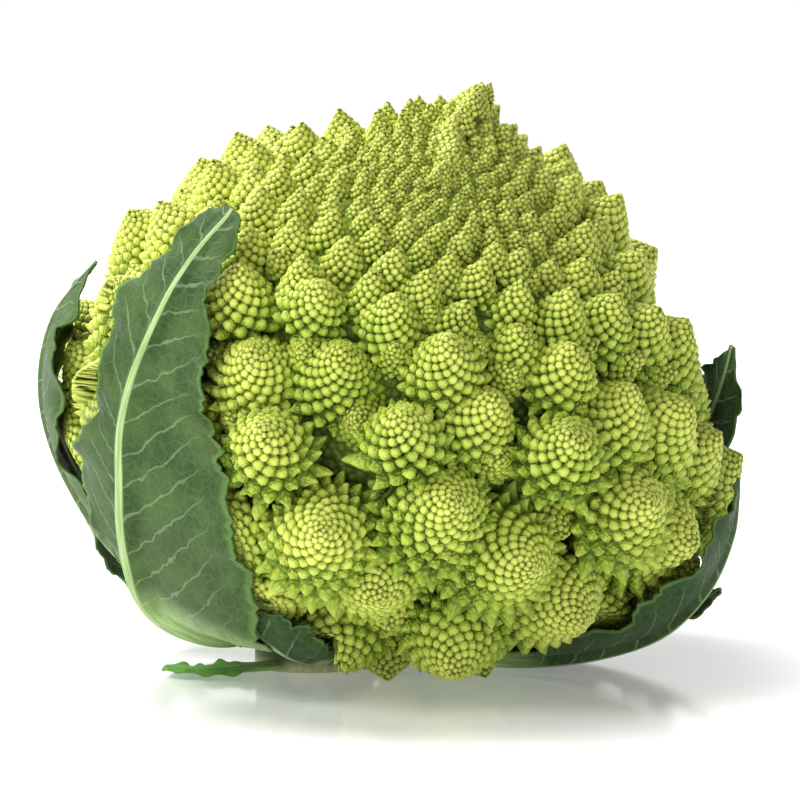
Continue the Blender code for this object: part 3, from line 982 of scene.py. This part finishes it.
# Each leaf's rows, the radius its blade bends to, the height and number of its waves, and its grid. The stub
# lies flat, and faces up.
LEAVES = {
    "leaf_front_left": dict(rows=FRONT_LEFT_LEAF, bend=95, wave=1.6, waves=7, long=130, wide=48),
    "leaf_left": dict(rows=LEFT_LEAF, bend=60, wave=1.6, waves=4, long=90, wide=34),
    "leaf_left_low": dict(rows=LEFT_LOW_LEAF, bend=45, wave=1.4, waves=3, long=60, wide=30),
    "leaf_small_curled": dict(rows=SMALL_CURLED_LEAF, bend=14, wave=0.8, waves=4, long=60, wide=26),
    "leaf_stub": dict(rows=STUB_LEAF, bend=0, wave=0.6, waves=2, long=40, wide=20, facing=STUB_FACES),
    "leaf_right": dict(rows=RIGHT_LEAF, bend=34, wave=1.6, waves=5, long=100, wide=38),
    "leaf_right_low": dict(rows=RIGHT_LOW_LEAF, bend=30, wave=1.0, waves=4, long=80, wide=26),
    "leaf_back_right": dict(rows=BACK_RIGHT_LEAF, bend=70, wave=2.0, waves=5, long=100, wide=40),
}


def smooth_rows(rows, places):
    """The rows of a leaf, read at places from 0 to 1 on a smooth curve through them."""
    rows = np.array(rows, float)
    ends = np.vstack((2 * rows[0] - rows[1], rows, 2 * rows[-1] - rows[-2]))
    along = places * (len(rows) - 1)
    first = np.minimum(along.astype(int), len(rows) - 2)
    t = (along - first)[:, None]
    a, b, c, d = (ends[first + step] for step in range(4))
    return b + 0.5 * t * (c - a + t * (2 * a - 5 * b + 4 * c - d + t * (3 * (b - c) + d - a)))


def blade_grid(name, long, wide):
    """A flat blade with two faces and a rim: x runs along it, y across and z through it."""
    deselect_all()
    bpy.ops.mesh.primitive_grid_add(x_subdivisions=long, y_subdivisions=wide, size=2)
    blade = named(name)
    in_mode("EDIT")
    bpy.ops.mesh.select_all(action="SELECT")
    bpy.ops.mesh.extrude_region_move(TRANSFORM_OT_translate={"value": (0, 0, 1)})
    faces_outward()
    return blade


def make_leaf(name, seed, rows, bend, wave, waves, long, wide, facing=tuple(HEAD_CENTRE)):
    """A leaf drawn from a flat blade to its rows, with a raised midrib, side veins and a toothed edge."""
    blade = blade_grid(name, long, wide)
    flat = coordinates(blade)
    long = len(np.unique(np.round(flat[:, 0], 5))) - 1
    places = np.linspace(0, 1, long + 1)
    table = smooth_rows(rows, places)
    middle = table[:, :3]
    along = unit(np.gradient(middle, axis=0))
    outward = middle - np.array(facing)
    outward = unit(outward - along * (outward * along).sum(axis=1, keepdims=True))
    right = np.cross(along, outward)
    travelled = np.concatenate(((0,), np.cumsum(np.linalg.norm(np.diff(middle, axis=0), axis=1))))
    number = np.clip(np.rint((flat[:, 0] + 1) / 2 * long).astype(int), 0, long)
    outer = flat[:, 2] > 0.5
    # Columns stand closer together near the midrib
    share = np.sign(flat[:, 1]) * np.abs(flat[:, 1]) ** NARROWING
    place, run, row = places[number], travelled[number], table[number]
    on_stem = np.clip(1 - (place - STEM_END) / STEM_FADE, 0, 1)
    width = np.maximum(np.where(share < 0, row[:, 3], row[:, 4]), 1.0)
    ragged = np.sin(run * 0.83 + seed) + 0.7 * np.sin(run * 1.71 + 2 * seed + share)
    fine = np.abs(np.sin(run * 1.15 + 0.5 * np.sin(run * 0.31 + seed))) - 0.5
    edge = np.minimum(1, width / 9) * (1 - on_stem)
    reach = width + edge * (0.45 * ragged + TOOTH_HEIGHT * fine)
    across = reach * share
    rib_half = 0.62 * row[:, 5] + 1.2
    rib = np.maximum(row[:, 5] - SOLID_BLADE, 0) * np.maximum(0, 1 - (across / rib_half) ** 2)
    # Side veins leave the midrib at an angle and bend towards the tip
    side = np.where(share < 0, 0.0, 0.5)
    vein_run = (run - VEIN_SLANT * np.abs(across) - VEIN_BEND * across**2) / VEIN_PITCH + side
    vein_run = vein_run + 0.12 * np.sin(run * 0.13 + seed + share)
    from_vein = np.abs(vein_run - np.floor(vein_run) - 0.5) * VEIN_PITCH
    off_rib = np.clip(np.abs(across) / rib_half - 0.6, 0, 1) * (1 - on_stem)
    vein = np.exp(-((from_vein / VEIN_WIDTH) ** 2)) * off_rib * (1 - 0.75 * np.abs(share) ** 1.5)
    puff = np.sin(np.pi * from_vein / VEIN_PITCH) ** 2 * off_rib * (1 - share**4)
    lift = -(across**2) / (2 * bend) if bend else 0 * across
    phase = 2 * np.pi * waves * place + np.where(share < 0, 0, 2.1)
    frill = np.minimum(1, width / 12)
    lift = lift + wave * np.abs(share) ** 3 * np.sin(phase) * frill
    lift = lift + 0.8 * np.abs(share) ** 5 * np.sin(2.3 * phase + seed) * frill * (1 - on_stem)
    base = middle[number] + right[number] * across[:, None]
    thick = BLADE * np.clip(1.15 - 0.4 * np.abs(share), 0.75, 1)
    raised = lift + thick * np.where(outer, 0.5, -0.5)
    for form, on_outer, on_inner in zip((rib, vein, puff), OUTER_RELIEF, INNER_RELIEF):
        raised = raised + form * np.where(outer, on_outer, on_inner)
    points = base + outward[number] * raised[:, None]
    move_points(blade, inside_box(points))
    set_attributes(
        blade.data,
        {
            "inner": np.maximum(1.0 - outer, DARK.get(name, 0.0)),
            "rib": np.abs(across) / (0.3 * row[:, 5] + 0.1),
            "vein_run": vein_run,
            "margin": np.abs(share),
            "stem": on_stem,
            "youth": np.full(len(share), YOUTH.get(name, 0.0)),
        },
    )
    corners = np.empty(len(blade.data.loops), np.int32)
    blade.data.loops.foreach_get("vertex_index", corners)
    for layer in list(blade.data.uv_layers):
        blade.data.uv_layers.remove(layer)
    layer = blade.data.uv_layers.new(name="grain")
    flat_places = np.stack((run, across + 60 * outer), axis=-1)[corners] / 10
    layer.data.foreach_set("uv", flat_places.astype(np.float32).ravel())
    select_only(blade)
    in_mode("EDIT")
    faces_outward()
    bpy.ops.object.shade_smooth()
    return blade


# Materials


class Paint:
    """A material or a node group while its nodes are being laid out."""

    def __init__(self, tree):
        self.tree = tree
        self.nodes = tree.nodes
        self.links = tree.links

    def feed(self, socket, value):
        if isinstance(value, bpy.types.NodeSocket):
            self.links.new(value, socket)
        elif isinstance(value, tuple) and len(value) == 3 and socket.type == "RGBA":
            socket.default_value = (*value, 1)
        else:
            socket.default_value = value

    def fill(self, node, values):
        """Links or values for some of a node's inputs."""
        for key, value in values.items():
            self.feed(node.inputs[key], value)
        return node

    def node(self, kind, values, **settings):
        node = self.nodes.new("ShaderNode" + kind)
        for key, value in settings.items():
            setattr(node, key, value)
        return self.fill(node, values)

    def maths(self, operation, *values):
        return self.node("Math", dict(enumerate(values)), operation=operation).outputs[0]

    def times(self, first, second):
        return self.maths("MULTIPLY", first, second)

    def plus(self, base, value, factor):
        """base + value * factor"""
        return self.maths("MULTIPLY_ADD", value, factor, base)

    def attribute(self, name):
        return self.node("Attribute", {}, attribute_name=name).outputs["Fac"]

    def fade(self, value, low, high):
        """0 below low and 1 above high, or the other way round where low is the larger."""
        ends = (high, low, 1.0, 0.0) if low > high else (low, high, 0.0, 1.0)
        values = dict(zip(("From Min", "From Max", "To Min", "To Max"), ends), Value=value)
        return self.node("MapRange", values, interpolation_type="SMOOTHSTEP").outputs["Result"]

    def mix(self, share, first, second):
        values = {"Factor": share, 6: first, 7: second}
        return self.node("Mix", values, data_type="RGBA").outputs[2]

    def ramp(self, value, stops):
        node = self.node("ValToRGB", {0: value})
        elements = node.color_ramp.elements
        while len(elements) < len(stops):
            elements.new(0.5)
        for element, (place, colour) in zip(elements, stops):
            element.position = place
            element.color = (*colour, 1)
        return node.outputs["Color"]

    def grain_map(self, scale):
        place = self.node("UVMap", {}, uv_map="grain").outputs[0]
        return self.node("Mapping", {"Scale": scale, "Vector": place}).outputs[0]

    def object_map(self):
        return self.nodes.new("ShaderNodeTexCoord").outputs["Object"]

    def noise(self, place, scale, detail=2.0):
        values = {"Scale": scale, "Detail": detail, "Vector": place}
        return self.node("TexNoise", values).outputs["Fac"]

    def cells(self, place, scale, feature, randomness=1.0):
        values = {"Scale": scale, "Randomness": randomness, "Vector": place}
        return self.node("TexVoronoi", values, feature=feature).outputs["Distance"]

    def bump(self, height, distance, strength):
        values = {"Strength": strength, "Distance": distance, "Height": height}
        return self.node("Bump", values).outputs[0]


def new_material(name, inputs):
    """A material, its shader with some inputs set, and its paint."""
    material = bpy.data.materials.new(name)
    material.use_nodes = True
    paint = Paint(material.node_tree)
    return material, paint.fill(paint.nodes["Principled BSDF"], inputs), paint


def wax_bloom_group():
    """Where the pale wax on a leaf or stalk is thick: broad clouds, with a finer grain inside them."""
    group = bpy.data.node_groups.new("wax_bloom", "ShaderNodeTree")
    for name, kind in (("Place", "Vector"), ("Clouds", "Float")):
        group.interface.new_socket(name, in_out="INPUT", socket_type="NodeSocket" + kind)
    group.interface.new_socket("Bloom", in_out="OUTPUT", socket_type="NodeSocketFloat")
    paint = Paint(group)
    given = group.nodes.new("NodeGroupInput").outputs
    put_out = group.nodes.new("NodeGroupOutput")
    broad = paint.noise(given["Place"], given["Clouds"], 3.0)
    grain = paint.noise(given["Place"], paint.times(given["Clouds"], 9.0))
    bloom = paint.fade(paint.plus(broad, grain, 0.35), 0.45, 0.9)
    paint.feed(put_out.inputs["Bloom"], bloom)
    return group


def wax_bloom(paint, group, place, clouds):
    node = paint.nodes.new("ShaderNodeGroup")
    node.node_tree = group
    return paint.fill(node, {"Place": place, "Clouds": clouds}).outputs["Bloom"]


def curd_material():
    inputs = {
        "Roughness": 0.48,
        "Subsurface Weight": 0.15,
        "Subsurface Radius": (0.9, 1.0, 0.25),
        "Subsurface Scale": 0.002,
        "Specular IOR Level": 0.35,
    }
    material, shader, paint = new_material("curd_green", inputs)
    height = paint.attribute("tip")
    # Beads on the buds, and the smallest buds on the flesh
    beads = paint.cells(paint.grain_map((7, 4.2, 1)), 1.0, "F1", 0.5)
    bead = paint.maths("MAXIMUM", paint.plus(1.0, beads, -1.5), 0.0)
    bead = paint.times(bead, paint.fade(height, 1.0, 0.5))
    flesh = paint.fade(height, -0.26, -0.29)
    young = paint.cells(paint.object_map(), 430.0, "F1", 0.9)
    young = paint.times(paint.plus(1.2, young, -1.4), flesh)
    bump = paint.bump(paint.plus(bead, young, 1.8), 0.001, 0.8)
    # Painted shade: lighter from the foot of a bud to its tip and from a floret's rim to its tip, darker down
    # in the gaps between them; painted light: lighter up the head
    painted_shade_light_and_tone = paint.times(paint.fade(height, -0.3, 0.95), 0.58)
    painted_shade_light_and_tone = paint.plus(painted_shade_light_and_tone, paint.maths("POWER", paint.attribute("rise"), 2.0), 0.3)
    # Painted shade: the tops of the beads and of the small buds on the flesh lighter, the gaps between them
    # darker
    painted_shade_light_and_tone = paint.plus(painted_shade_light_and_tone, bead, 0.18)
    painted_shade_light_and_tone = paint.plus(painted_shade_light_and_tone, young, 0.22)
    # Painted light from above: the curd lighter towards the top of the head
    parts = paint.node("SeparateXYZ", {0: paint.object_map()})
    painted_shade_light_and_tone = paint.plus(painted_shade_light_and_tone, paint.fade(parts.outputs["Z"], 0.085, 0.145), 0.3)
    painted_shade_light_and_tone = paint.maths("SUBTRACT", painted_shade_light_and_tone, 0.02)
    painted_shade_light_and_tone = paint.plus(painted_shade_light_and_tone, paint.attribute("tint"), 0.14)
    painted_shade_light_and_tone = paint.plus(painted_shade_light_and_tone, paint.attribute("shade"), 0.1)
    colours = paint.ramp(
        painted_shade_light_and_tone,
        (
            (0.05, (0.03, 0.055, 0.008)),
            (0.3, (0.13, 0.21, 0.02)),
            (0.6, (0.36, 0.49, 0.045)),
            (0.92, (0.72, 0.8, 0.14)),
        ),
    )
    paint.fill(shader, {"Base Color": colours, "Normal": bump})
    return material


def leaf_material(bloom_group):
    inputs = {
        "Specular IOR Level": 0.14,
        "Subsurface Weight": 0.08,
        "Subsurface Radius": (0.6, 1.0, 0.3),
        "Subsurface Scale": 0.001,
    }
    material, shader, paint = new_material("leaf_green", inputs)
    inner, margin = paint.attribute("inner"), paint.attribute("margin")
    place = paint.grain_map((1, 1, 1))
    wander = paint.plus(paint.attribute("vein_run"), paint.noise(place, 2.2), 0.5)
    from_vein = paint.maths("PINGPONG", paint.maths("ADD", wander, 0.25), 0.5)
    side_vein = paint.fade(from_vein, 0.075, 0.02)
    side_vein = paint.times(side_vein, paint.fade(margin, 1.0, 0.5))
    net = paint.fade(paint.cells(place, 3.2, "DISTANCE_TO_EDGE"), 0.09, 0.02)
    fine_net = paint.fade(paint.cells(place, 8.0, "DISTANCE_TO_EDGE"), 0.12, 0.02)
    veins = paint.maths("MAXIMUM", side_vein, paint.times(net, 0.2))
    veins = paint.maths("MAXIMUM", veins, paint.times(fine_net, 0.1))
    midrib = paint.fade(paint.attribute("rib"), 1.15, 0.75)
    rib = paint.maths("MAXIMUM", midrib, paint.attribute("stem"))
    bloom = wax_bloom(paint, bloom_group, place, 0.9)
    outer_blade = paint.mix(bloom, (0.024, 0.06, 0.012), (0.062, 0.115, 0.03))
    inner_blade = paint.mix(bloom, (0.016, 0.046, 0.011), (0.038, 0.086, 0.028))
    blade = paint.mix(inner, outer_blade, inner_blade)
    blade = paint.mix(paint.attribute("youth"), blade, (0.16, 0.46, 0.07))
    blade = paint.mix(paint.times(veins, 0.48), blade, (0.24, 0.34, 0.16))
    edge = paint.times(paint.fade(margin, 0.93, 1.0), 0.5)
    blade = paint.mix(edge, blade, (0.2, 0.36, 0.1))
    specks = paint.fade(paint.cells(place, 9.0, "F1"), 0.16, 0.06)
    specks = paint.times(specks, paint.fade(paint.noise(place, 3.0), 0.5, 0.65))
    blade = paint.mix(paint.times(specks, 0.55), blade, (0.02, 0.05, 0.015))
    streaks = paint.noise(paint.grain_map((0.5, 7, 1)), 2.0, 4.0)
    rib_colour = paint.mix(paint.fade(streaks, 0.35, 0.7), (0.25, 0.38, 0.13), (0.41, 0.55, 0.25))
    colour = paint.mix(rib, blade, rib_colour)
    relief = paint.times(veins, paint.maths("SUBTRACT", 1.0, rib))
    bump = paint.bump(paint.plus(relief, streaks, 0.3), 0.0005, 0.7)
    rough = paint.plus(0.42, bloom, 0.2)
    paint.fill(shader, {"Base Color": colour, "Roughness": rough, "Normal": bump})
    return material


def stalk_material(bloom_group):
    material, shader, paint = new_material("stalk_green", {"Specular IOR Level": 0.4})
    place = paint.object_map()
    bloom = wax_bloom(paint, bloom_group, place, 90.0)
    # Painted shade: the stalk's skin is a deep dark green, for the shade under the head and the leaves
    skin_in_painted_shade = paint.mix(bloom, (0.03, 0.05, 0.01), (0.09, 0.13, 0.03))
    fibres = paint.noise(place, 900.0)
    pith = paint.mix(paint.fade(fibres, 0.35, 0.65), (0.5, 0.5, 0.26), (0.66, 0.66, 0.4))
    core = paint.attribute("core")
    ring = paint.times(paint.fade(core, 0.78, 0.86), paint.fade(core, 0.97, 0.9))
    pith = paint.mix(paint.times(ring, 0.6), pith, (0.34, 0.38, 0.14))
    colour = paint.mix(paint.fade(paint.attribute("cut"), 0.85, 0.98), skin_in_painted_shade, pith)
    rough = paint.plus(0.4, bloom, 0.2)
    bump = paint.bump(fibres, 0.0003, 0.5)
    paint.fill(shader, {"Base Color": colour, "Roughness": rough, "Normal": bump})
    return material


# The studio


def make_studio():
    """A white floor that mirrors the head softly, white walls and three lamps."""
    deselect_all()
    bpy.ops.mesh.primitive_plane_add(size=12, location=(0, 0, 0))
    floor = named("studio_floor")
    inputs = {
        "Base Color": (0.85, 0.85, 0.85, 1),
        "Roughness": FLOOR_ROUGHNESS,
        "Emission Color": (1, 1, 1, 1),
    }
    material, shader, paint = new_material("white_floor", inputs)
    # Away from the head the floor shines white, and what it mirrors there is lost
    flat = paint.node("VectorMath", {0: paint.object_map()}, operation="LENGTH")
    away = paint.fade(flat.outputs["Value"], *FLOOR_FADES)
    glow = paint.plus(FLOOR_GLOWS[0], away, FLOOR_GLOWS[1] - FLOOR_GLOWS[0])
    paint.feed(shader.inputs["Emission Strength"], glow)
    floor.data.materials.append(material)
    world = bpy.data.worlds.new("studio")
    bpy.context.scene.world = world
    world.use_nodes = True
    paint = Paint(world.node_tree)
    # The walls are seen and mirrored as white, and light the head less than they show
    path = paint.node("LightPath", {}).outputs
    seen = paint.maths("MAXIMUM", path["Is Camera Ray"], path["Is Glossy Ray"])
    strength = paint.plus(WALL_LIGHTS, seen, WALL_SHOWS - WALL_LIGHTS)
    paint.fill(paint.nodes["Background"], {"Color": (1, 1, 1, 1), "Strength": strength})
    for name, (place, size, power) in SOFTBOXES.items():
        light = bpy.data.lights.new(name, "AREA")
        light.shape = "RECTANGLE"
        light.size, light.size_y = size
        light.energy = power
        obj = in_scene(name, light)
        obj.location = place
        way = Vector(LIT_POINT) - Vector(place)
        obj.rotation_euler = way.to_track_quat("-Z", "Y").to_euler()


def make_camera():
    """The camera, level with the photograph's view of the head."""
    tilt = np.radians(CAMERA_ELEVATION)
    back = np.array((0, -np.cos(tilt), np.sin(tilt)))
    up = np.array((0, np.sin(tilt), np.cos(tilt)))
    aim = HEAD_CENTRE + np.array((AIM_RIGHT, 0, 0)) + up * AIM_UP
    camera_data = bpy.data.cameras.new("camera")
    camera_data.lens = CAMERA_LENS
    camera_data.sensor_width = CAMERA_SENSOR
    camera = in_scene("camera", camera_data)
    camera.location = (aim + back * CAMERA_DISTANCE) * MILLIMETRE + ORIGIN_SHIFT
    camera.rotation_euler = (np.pi / 2 - tilt, 0, 0)
    bpy.context.scene.camera = camera


def finish_piece(piece, material, node):
    """The material of a piece, and what it rides on and replaces."""
    piece.data.materials.clear()
    piece.data.materials.append(material)
    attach(piece, "root")
    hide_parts(node)


def main():
    bpy.context.scene.view_settings.view_transform = "Standard"
    make_camera()
    make_studio()
    bloom = wax_bloom_group()
    curd_green = curd_material()
    leaf_green = leaf_material(bloom)
    stalk_green = stalk_material(bloom)
    pressed = presser(room_for_curd())
    for piece in [make_flesh(pressed), *make_florets(model_buds(), pressed)]:
        finish_piece(piece, curd_green, "curd")
    for seed, (name, leaf) in enumerate(LEAVES.items(), 1):
        piece = make_leaf(name.replace("leaf", "blade"), seed, **leaf)
        finish_piece(piece, leaf_green, name)
    finish_piece(make_stalk(), stalk_green, "stalk")


main()
